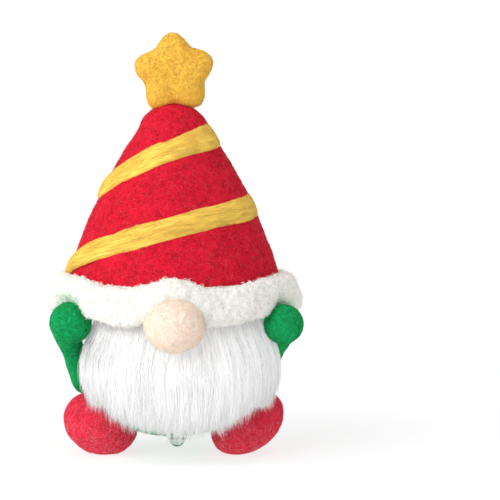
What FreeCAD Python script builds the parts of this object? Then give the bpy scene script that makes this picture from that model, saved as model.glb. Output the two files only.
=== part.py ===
import FreeCAD, Part
import math
import os
import Sketcher

# Felted gnome figurine: a ball body, a tall cone hat, a fur beard, and small felted limbs.
# Millimetres, +Z up. The front faces -Y and the figure stands on the plane Z = 0.
# The origin lies under the middle of the whole outline; the hat's own axis stands a little
# behind it (axis_back), because the nose reaches out in front.

DIMENSIONS = (
    # name, value, what it measures
    ("axis_back", 4.8, "distance from the origin back to the hat's upright axis"),
    ("skin", 3.5, "thickness of the coloured wool over the white core"),
    ("sole_flat", 0.8, "depth pressed flat under each foot"),
    # body
    ("body_base", 6.0, "underside of the body above the ground"),
    ("body_seat", 60.5, "height of the flat joint between body core and hat core"),
    ("body_seat_radius", 24.6, "radius of that joint"),
    ("haunch_radius", 24.0, "radius where the flat base turns into the side"),
    ("haunch_height", 11.5, "height of that turn"),
    # hat
    ("brim_height", 57.0, "underside of the hat"),
    ("brim_radius", 44.6, "hat radius at its underside"),
    ("neck_radius", 13.8, "hat radius where the blunt tip begins"),
    ("neck_height", 127.4, "height of that place"),
    ("tip_height", 137.4, "top of the hat"),
    ("hat_side_curve", 200.0, "curve radius of the bulging side"),
    # wound band
    ("band_width", 8.6, "height of the band on the hat"),
    ("band_proud", 1.3, "how far the band stands out of the hat"),
    ("ramp_inner", 4.0, "inner edge of the spiral ramp that gives the band its edges"),
    ("ramp_outer", 50.0, "outer edge of that ramp"),
    # fleece strip round the brim
    ("trim_base", 55.5, "lower edge of the fleece"),
    ("trim_top", 70.5, "upper edge of the fleece"),
    ("trim_radius", 49.8, "outer radius of the fleece"),
    ("seat_low_radius", 45.1, "hat radius at the fleece's lower edge"),
    ("seat_high_radius", 41.5, "hat radius at the fleece's upper edge"),
    ("trim_round", 5.2, "rounding of the fleece's two outer edges"),
    ("trim_low_curve", 5.6, "curve radius of the fleece's lower edge"),
    ("trim_high_curve", 6.8, "curve radius of the fleece's upper edge"),
    ("knit", 0.9, "thickness of the knitted backings"),
    ("knit_margin", 1.2, "bare margin of the trim's backing inside the fleece, top and bottom"),
    # star
    ("star_side", 0.3, "star's middle, to the right of the axis"),
    ("star_height", 149.0, "height of the star's middle"),
    ("star_tip_radius", 16.0, "middle to the end of a point"),
    ("star_valley_radius", 12.3, "middle to the bottom of a valley"),
    ("star_thickness", 11.5, "front to back"),
    ("star_lean", 3.0, "degrees that the star is turned, top to the left"),
    # nose
    ("nose_side", 1.5, "nose centre, to the right of the axis"),
    ("nose_forward", 49.0, "nose centre, in front of the axis"),
    ("nose_height", 55.6, "nose centre, above the ground"),
    ("nose_half_width", 11.8, "half width"),
    ("nose_half_depth", 10.5, "half depth"),
    ("nose_half_height", 10.2, "half height"),
    # hands, held up against the fleece
    ("hand_left_radius", 8.1, "left hand"),
    ("hand_left_side", -39.1, "left hand centre, across"),
    ("hand_left_forward", 28.0, "left hand centre, in front of the axis"),
    ("hand_left_height", 54.0, "left hand centre, above the ground"),
    ("hand_right_radius", 7.7, "right hand"),
    ("hand_right_side", 43.0, "right hand centre, across"),
    ("hand_right_forward", 26.0, "right hand centre, in front of the axis"),
    ("hand_right_height", 53.2, "right hand centre, above the ground"),
    # arms: each curves from its hand, past an elbow, to the flank
    ("arm_radius", 4.6, "half thickness of an arm"),
    ("elbow_left_side", -38.6, "left elbow, across"),
    ("elbow_right_side", 38.0, "right elbow, across"),
    ("elbow_forward", 8.0, "elbows, in front of the axis"),
    ("elbow_height", 38.5, "elbows, above the ground"),
    ("armpit_side", 29.5, "arm's root in the flank, across"),
    ("armpit_forward", 5.0, "arm's root, in front of the axis"),
    ("armpit_height", 25.0, "arm's root, above the ground"),
    # feet: eggs that lean outwards
    ("foot_side", 28.9, "foot centre, across"),
    ("foot_forward", 8.5, "foot centre, in front of the axis"),
    ("foot_half_depth", 15.0, "half depth of a foot"),
    ("foot_left_long", 14.9, "left foot, long half width"),
    ("foot_left_short", 12.1, "left foot, short half width"),
    ("foot_left_lean", 20.0, "left foot, degrees that the outer end is lifted"),
    ("foot_right_long", 15.5, "right foot, long half width"),
    ("foot_right_short", 11.2, "right foot, short half width"),
    ("foot_right_lean", 35.0, "right foot, degrees that the outer end is lifted"),
    # bead under the seat
    ("bead_radius", 3.1, "clear bead"),
    ("bead_side", 0.9, "bead centre, across"),
    ("bead_behind", 4.0, "bead centre, behind the axis"),
    ("bead_bore", 0.6, "radius of the bead's hole"),
    ("thread_radius", 0.25, "thread that holds the bead"),
    ("thread_slack", 0.4, "thread outside each end of the bore"),
    ("anchor_reach", 4.8, "where the thread enters the body, to each side of the bead"),
    ("anchor_rise", 4.6, "height of that place above the bead's centre"),
    # beard
    ("beard_side", 2.8, "middle of the beard, to the right of the axis"),
    ("beard_back", 13.0, "the beard's sides end this far in front of the axis"),
    ("backing_half_width", 27.0, "beard's backing, half width"),
    ("backing_top", 54.8, "beard's backing, upper edge"),
    ("backing_base", 20.0, "beard's backing, lower edge"),
    # helper boxes
    ("span", 60.0, "longer than the figure reaches from its axis to any side"),
)

# The beard from its top edge down to its tips: height, half width, half depth, centre in front.
BEARD_LEVELS = (
    (55.2, 33.5, 23.0, 19.0),
    (46.0, 36.8, 26.5, 20.0),
    (37.0, 38.6, 28.5, 20.0),
    (27.0, 35.8, 25.5, 22.0),
    (19.0, 29.0, 15.5, 29.5),
    (14.0, 22.0, 11.0, 31.5),
    (11.0, 13.0, 6.5, 32.5),
)

# The band's winding, as degrees round the hat from the front towards the right, and height.
# It starts behind the fleece at the left, rises across the front, and ends behind the star.
BAND_ROUTE = (
    (-125, 66.0), (-95, 71.5), (-60, 80.3), (-25, 87.4), (10, 92.8), (45, 95.9),
    (85, 97.4), (140, 98.6), (200, 100.2), (250, 102.8), (285, 106.4), (310, 112.2),
    (340, 118.0), (370, 121.6), (405, 124.0), (440, 124.9), (480, 125.6), (520, 126.6),
)
BAND_END_WIDTHS = (0.35, 0.75)     # share of the full width at the band's last two places
BAND_STEP = 15                     # degrees between the places where the ramp's section is drawn

# Star: thickness stations, as shares of half the thickness, and the outline's share there.
STAR_STATIONS = (
    (-1.0, 0.45), (-0.86, 0.72), (-0.5, 0.93), (0.0, 1.0), (0.5, 0.93), (0.86, 0.72), (1.0, 0.45),
)
STAR_POINTS = 5
PLACES_PER_POINT = 4

ROUND_THE_AXIS = "centre on the axis"     # in place of a curve radius: the edge turns into a sphere

document = FreeCAD.newDocument("gnome")


def fill_sheet():
    """Write the driving dimensions into the document's spreadsheet."""
    sheet = document.addObject("Spreadsheet::Sheet", "dims")
    for row, (name, value, meaning) in enumerate(DIMENSIONS, start=1):
        sheet.set(f"A{row}", meaning)
        sheet.set(f"B{row}", str(value))
        sheet.setAlias(f"B{row}", name)
    document.recompute()
    return sheet


dims = fill_sheet()


def size(formula):
    """Value of a formula written in the sheet's names."""
    return float(dims.evalExpression(formula))


def bind(thing, **formulas):
    """Bind properties to formulas; a double underscore in the name stands for a dot."""
    for name, formula in formulas.items():
        thing.setExpression(name.replace("__", "."), formula)


def origin_plane(body, role):
    """One of a body's own origin planes."""
    return next(item for item in body.Origin.OriginFeatures if item.Role == role)


# ---------------------------------------------------------------- turned forms


def round_radius(start, end):
    """Radius of the arc from start to end whose centre is on the axis."""
    squares = end.x**2 + end.y**2 - start.x**2 - start.y**2
    centre_height = squares / (2 * (end.y - start.y))
    return math.hypot(start.x, start.y - centre_height)


def arc_through(start, end, radius):
    """Arc from start to end that bulges to the right of that direction."""
    chord = end - start
    middle = (start + end) * 0.5
    outward = FreeCAD.Vector(chord.y, -chord.x, 0).normalize()
    rise = radius - math.sqrt(radius**2 - (chord.Length / 2) ** 2)
    return Part.Arc(start, middle + outward * rise, end)


def draw_outline(sketch, corners, curves):
    """Closed outline whose corners and curve radii are formulas.

    corners are (radius, height) pairs of formulas; curves maps the number of the edge that
    leaves a corner to the formula of its curve radius, or to ROUND_THE_AXIS. Other edges are
    straight.
    """
    places = [FreeCAD.Vector(size(radius), size(height), 0) for radius, height in corners]
    ends = []
    for number, start in enumerate(places):
        end = places[(number + 1) % len(places)]
        if curves.get(number) == ROUND_THE_AXIS:
            edge = sketch.addGeometry(arc_through(start, end, round_radius(start, end)))
        elif number in curves:
            edge = sketch.addGeometry(arc_through(start, end, size(curves[number])))
        else:
            edge = sketch.addGeometry(Part.LineSegment(start, end))
        forward = sketch.getPoint(edge, 1).distanceToPoint(start) < 1e-4
        ends.append((1, 2) if forward else (2, 1))
    for number in range(len(places)):
        following = (number + 1) % len(places)
        joined = ("Coincident", number, ends[number][1], following, ends[following][0])
        sketch.addConstraint(Sketcher.Constraint(*joined))
    for number, (place, formulas) in enumerate(zip(places, corners)):
        point = (number, ends[number][0])
        if place.x == 0:
            sketch.addConstraint(Sketcher.Constraint("PointOnObject", *point, -2))
        else:
            hold(sketch, ("DistanceX", -1, 1, *point, place.x), f"radius_{number}", formulas[0])
        hold(sketch, ("DistanceY", -1, 1, *point, place.y), f"height_{number}", formulas[1])
    for number, formula in curves.items():
        if formula == ROUND_THE_AXIS:
            sketch.addConstraint(Sketcher.Constraint("PointOnObject", number, 3, -2))
        else:
            hold(sketch, ("Radius", number, size(formula)), f"curve_{number}", formula)


def hold(sketch, constraint, name, formula):
    """Add a dimension to a sketch and bind it to a formula."""
    index = sketch.addConstraint(Sketcher.Constraint(*constraint))
    sketch.renameConstraint(index, name)
    sketch.setExpression(f"Constraints.{name}", formula)


def turned(name, corners, curves=None):
    """Solid of revolution about the figure's upright axis."""
    body = document.addObject("PartDesign::Body", name)
    sketch = body.newObject("Sketcher::SketchObject", f"{name}_outline")
    sketch.AttachmentSupport = [(origin_plane(body, "XZ_Plane"), "")]
    sketch.MapMode = "FlatFace"
    draw_outline(sketch, corners, curves or {})
    turn = body.newObject("PartDesign::Revolution", f"{name}_turn")
    turn.Profile = sketch
    turn.ReferenceAxis = (sketch, ["V_Axis"])
    turn.Angle = 360
    bind(body, Placement__Base__y="dims.axis_back")
    document.recompute()
    return body


def body_shape(name, grow):
    """The body's form, grown outwards all over by a formula; its flat top stays in place."""
    corners = (
        ("0", f"dims.body_base - ({grow})"),
        (f"dims.haunch_radius + ({grow})", f"dims.haunch_height - ({grow})"),
        (f"dims.body_seat_radius + ({grow})", "dims.body_seat"),
        ("0", "dims.body_seat"),
    )
    return turned(name, corners, {0: ROUND_THE_AXIS, 1: ROUND_THE_AXIS})


def hat_shape(name, grow, floor):
    """The hat's form, grown outwards by a formula, above a floor at the given height."""
    neck = f"(dims.neck_radius + ({grow}))"
    rise = f"(dims.tip_height + ({grow}) - dims.neck_height)"
    corners = (
        ("0", floor),
        (f"dims.brim_radius + ({grow})", floor),
        (neck, "dims.neck_height"),
        ("0", f"dims.tip_height + ({grow})"),
    )
    curves = {1: "dims.hat_side_curve", 2: f"({neck}^2 + {rise}^2) / (2 * {rise})"}
    return turned(name, corners, curves)


# ---------------------------------------------------------------- booleans


def combine(kind, name, base, tool):
    """Part::Cut or Part::Common of two objects."""
    result = document.addObject(kind, name)
    result.Base = base
    result.Tool = tool
    document.recompute()
    if result.Shape.Volume >= base.Shape.Volume - 1e-6:
        raise RuntimeError(f"{name} took nothing away from {base.Name}")
    return result


def carve(name, base, *tools):
    """base with every tool taken away, in turn."""
    for number, tool in enumerate(tools, start=1):
        last = number == len(tools)
        base = combine("Part::Cut", name if last else f"{name}_cut_{number}", base, tool)
    return base


def kept_inside(name, base, region):
    """The stretch of base that lies inside region."""
    return combine("Part::Common", name, base, region)


def block(name, **formulas):
    """Box with its sizes and corner bound to formulas."""
    box = document.addObject("Part::Box", name)
    bind(box, **formulas)
    document.recompute()
    return box


def ball(name, radius, side, forward, height):
    """Sphere; side, forward and height are formulas for its centre."""
    sphere = document.addObject("Part::Sphere", name)
    bind(
        sphere,
        Radius=radius,
        Placement__Base__x=side,
        Placement__Base__y=f"dims.axis_back - ({forward})",
        Placement__Base__z=height,
    )
    document.recompute()
    return sphere


def egg(name, across, deep, tall, side, forward, height, lean="0"):
    """Ellipsoid, turned by lean degrees about the front-to-back direction."""
    solid = document.addObject("Part::Ellipsoid", name)
    solid.Placement.Rotation = FreeCAD.Rotation(FreeCAD.Vector(0, 1, 0), 1)
    bind(
        solid,
        Radius1=tall,
        Radius2=across,
        Radius3=deep,
        Placement__Base__x=side,
        Placement__Base__y=f"dims.axis_back - ({forward})",
        Placement__Base__z=height,
        Placement__Rotation__Angle=lean,
    )
    document.recompute()
    return solid


def plain_solid(name, shape):
    """Part::Feature for the few pieces whose shape is made directly."""
    feature = document.addObject("Part::Feature", name)
    feature.Shape = shape
    feature.Placement = FreeCAD.Placement()
    return feature


# ---------------------------------------------------------------- body and hat


def make_torso(bead):
    """White wool core in a green cup, with a dent where the bead is drawn into it."""
    form = body_shape("body_form", "0")
    core = body_shape("body_core", "-dims.skin")
    cover = carve("body_cover", form, core, bead)
    return form, core, cover


def make_hat(body_form):
    """White wool core under a red skin that also closes the brim's underside."""
    form = hat_shape("hat_form", "0", "dims.brim_height")
    core = hat_shape("hat_core", "-dims.skin", "dims.body_seat")
    cover = carve("hat_cover", form, core, body_form)
    return form, core, cover


def band_section(angle, height, width):
    """Upright radial rectangle, long enough to cross the band anywhere on the hat."""
    inner, outer = size("dims.ramp_inner"), size("dims.ramp_outer")
    turn = math.radians(angle)
    across = FreeCAD.Vector(math.sin(turn), -math.cos(turn), 0)
    axis = FreeCAD.Vector(0, size("dims.axis_back"), 0)
    low = FreeCAD.Vector(0, 0, height - width / 2)
    high = FreeCAD.Vector(0, 0, height + width / 2)
    corners = [
        axis + across * inner + low,
        axis + across * outer + low,
        axis + across * outer + high,
        axis + across * inner + high,
    ]
    return Part.makePolygon(corners + corners[:1])


def make_band(hat_form):
    """Yellow band wound round the hat: a thin layer on the hat, kept inside a spiral ramp."""
    width = size("dims.band_width")
    angles = [angle for angle, _ in BAND_ROUTE]
    rise = Part.BSplineCurve()
    places = [FreeCAD.Vector(angle, height, 0) for angle, height in BAND_ROUTE]
    rise.interpolate(places, Parameters=angles)
    sections = []
    for angle in range(angles[0], angles[-1] + 1, BAND_STEP):
        places_left = (angles[-1] - angle) // BAND_STEP
        share = BAND_END_WIDTHS[places_left] if places_left < len(BAND_END_WIDTHS) else 1.0
        sections.append(band_section(angle, rise.value(angle).y, width * share))
    ramp = plain_solid("band_ramp", Part.makeLoft(sections, True, False))
    layer_outside = hat_shape("band_layer_outside", "dims.band_proud", "dims.brim_height")
    layer = carve("band_layer", layer_outside, hat_form)
    return kept_inside("hat_band", layer, ramp)


# ---------------------------------------------------------------- fleece trim


def seat_radius(height):
    """Formula for the radius where the trim sits on the hat, at a height given as a formula."""
    share = f"({height} - dims.trim_base) / (dims.trim_top - dims.trim_base)"
    return f"(dims.seat_low_radius - (dims.seat_low_radius - dims.seat_high_radius) * {share})"


def make_trim(nose, hands):
    """Knitted backing strip round the brim and the curly pile that stands on it."""
    low = "(dims.trim_base + dims.knit_margin)"
    high = "(dims.trim_top - dims.knit_margin)"
    backing = turned(
        "trim_backing",
        (
            (seat_radius(low), low),
            (f"{seat_radius(low)} + dims.knit", low),
            (f"{seat_radius(high)} + dims.knit", high),
            (seat_radius(high), high),
        ),
    )
    inner_low = f"{seat_radius('dims.trim_base')} + dims.knit"
    inner_high = f"{seat_radius('dims.trim_top')} + dims.knit"
    ring = turned(
        "trim_ring",
        (
            (inner_low, "dims.trim_base"),
            ("dims.trim_radius", "dims.trim_base + dims.trim_round"),
            ("dims.trim_radius", "dims.trim_top - dims.trim_round"),
            (inner_high, "dims.trim_top"),
        ),
        {0: "dims.trim_low_curve", 2: "dims.trim_high_curve"},
    )
    pile = carve("trim_pile", ring, nose, *hands)
    return backing, pile


# ---------------------------------------------------------------- star


def star_outline(share, forward):
    """Smooth closed outline of the star at one station of its thickness.

    Its reach swings between valley and tip once for each point, which makes both round.
    """
    valley, tip = size("dims.star_valley_radius"), size("dims.star_tip_radius")
    depth = size("dims.axis_back") + forward
    middle = FreeCAD.Vector(size("dims.star_side"), depth, size("dims.star_height"))
    places = []
    for number in range(PLACES_PER_POINT * STAR_POINTS):
        turn = 2 * math.pi * number / (PLACES_PER_POINT * STAR_POINTS)
        reach = share * ((tip + valley) / 2 - (tip - valley) / 2 * math.cos(STAR_POINTS * turn))
        turn += math.radians(-90 + size("dims.star_lean"))
        places.append(middle + FreeCAD.Vector(reach * math.cos(turn), 0, reach * math.sin(turn)))
    curve = Part.BSplineCurve()
    curve.interpolate(places, PeriodicFlag=True)
    return Part.Wire(curve.toShape())


def make_star(hat_form):
    """Fat five-pointed star, pressed down over the hat's tip."""
    half = size("dims.star_thickness") / 2
    puff = Part.makeLoft([star_outline(share, half * at) for at, share in STAR_STATIONS], True, False)
    return carve("star", plain_solid("star_form", puff), hat_form)


# ---------------------------------------------------------------- limbs


def make_hand(side):
    """Round felted hand."""
    return ball(
        f"hand_{side}",
        f"dims.hand_{side}_radius",
        f"dims.hand_{side}_side",
        f"dims.hand_{side}_forward",
        f"dims.hand_{side}_height",
    )


def make_foot(side, sign, body_form, ground):
    """Felted foot: white core in a red skin, nested against the body and flat underneath."""
    lean = f"dims.foot_{side}_lean"
    long_half, short_half = f"dims.foot_{side}_long", f"dims.foot_{side}_short"
    half_height = f"sqrt(({long_half} * sin({lean} * 1deg))^2 + ({short_half} * cos({lean} * 1deg))^2)"
    place = (f"{sign} * dims.foot_side", "dims.foot_forward", f"{half_height} - dims.sole_flat")
    turn = f"{-sign} * {lean}"
    form = egg(f"foot_form_{side}", long_half, "dims.foot_half_depth", short_half, *place, turn)
    inside = egg(
        f"foot_inside_{side}",
        f"{long_half} - dims.skin",
        "dims.foot_half_depth - dims.skin",
        f"{short_half} - dims.skin",
        *place,
        turn,
    )
    core = carve(f"foot_core_{side}", inside, body_form)
    cover = carve(f"foot_{side}", form, ground, body_form, core)
    return form, core, cover


def make_arm(side, sign, hand, body_form, foot_form):
    """Round arm on an arc from the hand, past the elbow, into the flank."""
    back = size("dims.axis_back")

    def place(across, forward, height):
        return FreeCAD.Vector(size(across), back - size(forward), size(height))

    wrist = place(f"dims.hand_{side}_side", f"dims.hand_{side}_forward", f"dims.hand_{side}_height")
    elbow = place(f"dims.elbow_{side}_side", "dims.elbow_forward", "dims.elbow_height")
    root = place(f"{sign} * dims.armpit_side", "dims.armpit_forward", "dims.armpit_height")
    path = Part.Wire(Part.Arc(wrist, elbow, root).toShape())
    start = path.Edges[0].tangentAt(path.Edges[0].FirstParameter)
    ring = Part.Wire(Part.makeCircle(size("dims.arm_radius"), wrist, start))
    form = plain_solid(f"arm_form_{side}", path.makePipeShell([ring], True, False))
    return carve(f"arm_{side}", form, hand, body_form, foot_form)


def make_nose():
    """Oval felted nose."""
    return egg(
        "nose",
        "dims.nose_half_width",
        "dims.nose_half_depth",
        "dims.nose_half_height",
        "dims.nose_side",
        "dims.nose_forward",
        "dims.nose_height",
    )


# ---------------------------------------------------------------- beard


def make_beard(body_form, cutters):
    """Knitted backing on the body's front and the long pile that hangs from it."""
    outside = body_shape("backing_outside", "dims.knit")
    layer = carve("backing_layer", outside, body_form)
    window = block(
        "backing_window",
        Length="2 * dims.backing_half_width",
        Width="dims.span",
        Height="dims.backing_top - dims.backing_base",
        Placement__Base__x="dims.beard_side - dims.backing_half_width",
        Placement__Base__y="dims.axis_back - dims.span",
        Placement__Base__z="dims.backing_base",
    )
    backing = kept_inside("beard_backing", layer, window)

    rings = []
    for number, (height, half_width, half_depth, forward) in enumerate(BEARD_LEVELS):
        ring = document.addObject("Part::Ellipse", f"beard_ring_{number}")
        ring.MajorRadius = half_width
        ring.MinorRadius = half_depth
        ring.Placement.Base.z = height
        bind(
            ring,
            Placement__Base__x="dims.beard_side",
            Placement__Base__y=f"dims.axis_back - {forward}",
        )
        rings.append(ring)
    hair = document.addObject("Part::Loft", "beard_form")
    hair.Sections = rings
    hair.Solid = True
    hair.Ruled = False
    document.recompute()
    front = block(
        "beard_front",
        Length="2 * dims.span",
        Width="dims.span",
        Height="dims.span",
        Placement__Base__x="-dims.span",
        Placement__Base__y="dims.axis_back - dims.beard_back - dims.span",
    )
    front_half = kept_inside("beard_front_half", hair, front)
    pile = carve("beard_pile", front_half, outside, *cutters)
    return backing, pile


# ---------------------------------------------------------------- bead


def make_bead():
    """Clear bead under the seat, bored from side to side for its thread."""
    form = ball("bead_form", "dims.bead_radius", "dims.bead_side", "-dims.bead_behind", "dims.bead_radius")
    # The sphere's seam is turned away from the ends of the bore.
    form.Placement.Rotation = FreeCAD.Rotation(FreeCAD.Vector(0, 0, 1), 45)
    bore = document.addObject("Part::Cylinder", "bead_bore_tool")
    bore.Placement.Rotation = FreeCAD.Rotation(FreeCAD.Vector(0, 1, 0), 90)
    bind(
        bore,
        Radius="dims.bead_bore",
        Height="4 * dims.bead_radius",
        Placement__Base__x="dims.bead_side - 2 * dims.bead_radius",
        Placement__Base__y="dims.axis_back + dims.bead_behind",
        Placement__Base__z="dims.bead_radius",
    )
    document.recompute()
    return form, carve("rear_bead", form, bore)


def make_thread(body_form):
    """Thread through the bead, whose two ends rise into the body's underside."""
    radius = size("dims.thread_radius")
    centre = FreeCAD.Vector(
        size("dims.bead_side"), size("dims.axis_back + dims.bead_behind"), size("dims.bead_radius")
    )
    turn = FreeCAD.Vector(size("dims.bead_radius + dims.thread_slack"), 0, 0)
    across = FreeCAD.Vector(size("dims.anchor_reach"), 0, 0)
    rise = FreeCAD.Vector(0, 0, size("dims.anchor_rise"))
    route = [centre - across + rise, centre - turn, centre + turn, centre + across + rise]
    pieces = [Part.makeSphere(radius, place) for place in route[1:3]]
    for start, end in zip(route, route[1:]):
        pieces.append(Part.makeCylinder(radius, (end - start).Length, start, end - start))
    thread = pieces[0].multiFuse(pieces[1:]).removeSplitter()
    return carve("bead_thread", plain_solid("thread_form", thread), body_form)


# ---------------------------------------------------------------- assembly

bead_form, rear_bead = make_bead()
body_form, body_core, body_cover = make_torso(bead_form)
hat_form, hat_core, hat_cover = make_hat(body_form)
nose = make_nose()
hand_left = make_hand("left")
hand_right = make_hand("right")
ground = block(
    "ground",
    Length="2 * dims.span",
    Width="2 * dims.span",
    Height="dims.span",
    Placement__Base__x="-dims.span",
    Placement__Base__y="-dims.span",
    Placement__Base__z="-dims.span",
)
foot_form_left, foot_core_left, foot_left = make_foot("left", -1, body_form, ground)
foot_form_right, foot_core_right, foot_right = make_foot("right", 1, body_form, ground)
arm_left = make_arm("left", -1, hand_left, body_form, foot_form_left)
arm_right = make_arm("right", 1, hand_right, body_form, foot_form_right)
trim_backing, trim_pile = make_trim(nose, (hand_left, hand_right))
beard_backing, beard_pile = make_beard(body_form, (nose, hand_right))

sub_parts = [
    body_core, body_cover, hat_core, hat_cover, make_band(hat_form),
    trim_backing, trim_pile, make_star(hat_form), nose,
    beard_backing, beard_pile, arm_left, arm_right, hand_left, hand_right,
    foot_core_left, foot_core_right, foot_left, foot_right, rear_bead, make_thread(body_form),
]

document.recompute()
for thing in document.Objects:
    if {"Invalid", "Error"} & set(thing.State):
        raise RuntimeError(f"{thing.Name} did not compute: {thing.State}")

os.makedirs("parts", exist_ok=True)
for piece in sub_parts:
    piece.Label = piece.Name
    shape = piece.Shape
    if shape.isNull() or not shape.isValid() or not shape.Solids:
        raise RuntimeError(f"{piece.Name} has no valid solid")
    shape.exportStep(f"parts/{piece.Label}.step")
    box = shape.BoundBox
    spans = ((box.XMin, box.XMax), (box.YMin, box.YMax), (box.ZMin, box.ZMax))
    extent = "  ".join(f"{low:7.2f} {high:7.2f}" for low, high in spans)
    print(f"{piece.Label:18} solids {len(shape.Solids)}  volume {shape.Volume:10.1f}  {extent}")
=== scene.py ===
import math

import bpy
import numpy as np
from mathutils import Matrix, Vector
from mathutils.bvhtree import BVHTree


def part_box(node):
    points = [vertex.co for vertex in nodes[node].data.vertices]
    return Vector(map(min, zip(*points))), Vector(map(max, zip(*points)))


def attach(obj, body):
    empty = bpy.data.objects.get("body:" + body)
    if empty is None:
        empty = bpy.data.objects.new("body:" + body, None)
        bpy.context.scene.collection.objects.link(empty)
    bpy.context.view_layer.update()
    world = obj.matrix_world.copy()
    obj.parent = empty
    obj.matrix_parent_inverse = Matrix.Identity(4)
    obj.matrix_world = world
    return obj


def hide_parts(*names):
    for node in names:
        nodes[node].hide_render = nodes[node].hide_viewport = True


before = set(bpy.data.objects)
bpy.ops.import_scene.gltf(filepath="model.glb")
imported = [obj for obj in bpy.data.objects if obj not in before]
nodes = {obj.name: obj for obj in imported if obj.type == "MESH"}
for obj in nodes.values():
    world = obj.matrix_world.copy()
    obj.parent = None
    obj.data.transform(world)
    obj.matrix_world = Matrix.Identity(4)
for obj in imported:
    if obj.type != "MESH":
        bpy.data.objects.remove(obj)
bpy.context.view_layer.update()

# Felted gnome. The felt pieces are grown from the surface of their CAD nodes: an even mesh that is
# lumped like needled wool. The hat's band, the fleece and the beard's inner mass are swept from
# measured profiles instead. All of them carry fibres, which are meshes too. Arrays hold
# millimetres, and a mesh is turned into metres when it is made.

MM = 0.001


def node_box(name):
    """Lowest and highest corner of a CAD node, in millimetres."""
    low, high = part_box(name)
    return np.array(low) / MM, np.array(high) / MM


HAT_LOW, HAT_HIGH = node_box("hat_cover")
AXIS_Y = (HAT_LOW[1] + HAT_HIGH[1]) / 2          # the hat's upright axis
AXIS = np.array([0.0, AXIS_Y, 0.0])


# ---------------------------------------------------------------- colour


def linear(red, green, blue):
    """Scene colour of a screen colour given from 0 to 255."""
    share = [value / 255 for value in (red, green, blue)]
    return [v / 12.92 if v <= 0.04045 else ((v + 0.055) / 1.055) ** 2.4 for v in share]


RED = linear(218, 29, 53)
RED_DEEP = linear(160, 8, 28)
RED_PALE = linear(238, 100, 112)
RED_STRAY = linear(236, 140, 146)
FOOT_RED = linear(229, 53, 76)
FOOT_DEEP = linear(176, 18, 38)
FOOT_PALE = linear(244, 140, 150)
# Paler red of the fibres low on the feet: painted light, for the floor's bounce.
FOOT_PAINTED_BOUNCE = linear(248, 158, 168)
GOLD = linear(252, 204, 84)
GOLD_DEEP = linear(238, 162, 50)
BAND_GOLD = linear(253, 216, 104)
BAND_DEEP = linear(243, 190, 74)
GREEN = linear(22, 162, 90)
GREEN_DEEP = linear(4, 92, 46)
PINK = linear(253, 233, 214)
PINK_DEEP = linear(228, 190, 166)
FLEECE = linear(250, 249, 243)
FLEECE_DEEP = linear(218, 213, 202)
BEARD = linear(251, 251, 251)
BEARD_DEEP = linear(222, 222, 222)
CORE = linear(232, 226, 212)
CORE_DEEP = linear(196, 188, 172)
KNIT = linear(236, 233, 226)


def tinted(colour, factor):
    """A lighter or darker neighbour of a colour."""
    return [min(1.0, max(0.0, channel * factor)) for channel in colour]


# ---------------------------------------------------------------- materials


def node(tree, kind, **inputs):
    """Shader node with some of its inputs set or linked; names use _ for a space."""
    made = tree.nodes.new(kind)
    for name, value in inputs.items():
        socket = made.inputs[name.replace("_", " ")]
        if isinstance(value, bpy.types.NodeSocket):
            tree.links.new(value, socket)
        else:
            socket.default_value = value
    return made


def colour_steps(tree, factor, steps):
    """Colour ramp through (position, colour) steps."""
    ramp = node(tree, "ShaderNodeValToRGB", Fac=factor)
    while len(ramp.color_ramp.elements) < len(steps):
        ramp.color_ramp.elements.new(0.5)
    for element, (position, colour) in zip(ramp.color_ramp.elements, steps):
        element.position = position
        element.color = (*colour, 1.0)
    return ramp.outputs["Color"]


def new_material(name):
    """Material with its node tree and its surface shader."""
    material = bpy.data.materials.new(name)
    material.use_nodes = True
    tree = material.node_tree
    return material, tree, tree.nodes["Principled BSDF"]


def noise(tree, spot, scale, detail, distortion=0.0):
    """Factor of a noise texture."""
    settings = {"Scale": scale, "Detail": detail, "Roughness": 0.7, "Distortion": distortion}
    return node(tree, "ShaderNodeTexNoise", Vector=spot, **settings).outputs["Fac"]


def weighed(tree, *parts):
    """Sum of (socket, share) pairs."""
    total = None
    for socket, share in parts:
        step = tree.nodes.new("ShaderNodeMath")
        step.operation = "MULTIPLY_ADD"
        tree.links.new(socket, step.inputs[0])
        step.inputs[1].default_value = share
        if total is None:
            step.inputs[2].default_value = 0.0
        else:
            tree.links.new(total, step.inputs[2])
        total = step.outputs["Value"]
    return total


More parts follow.
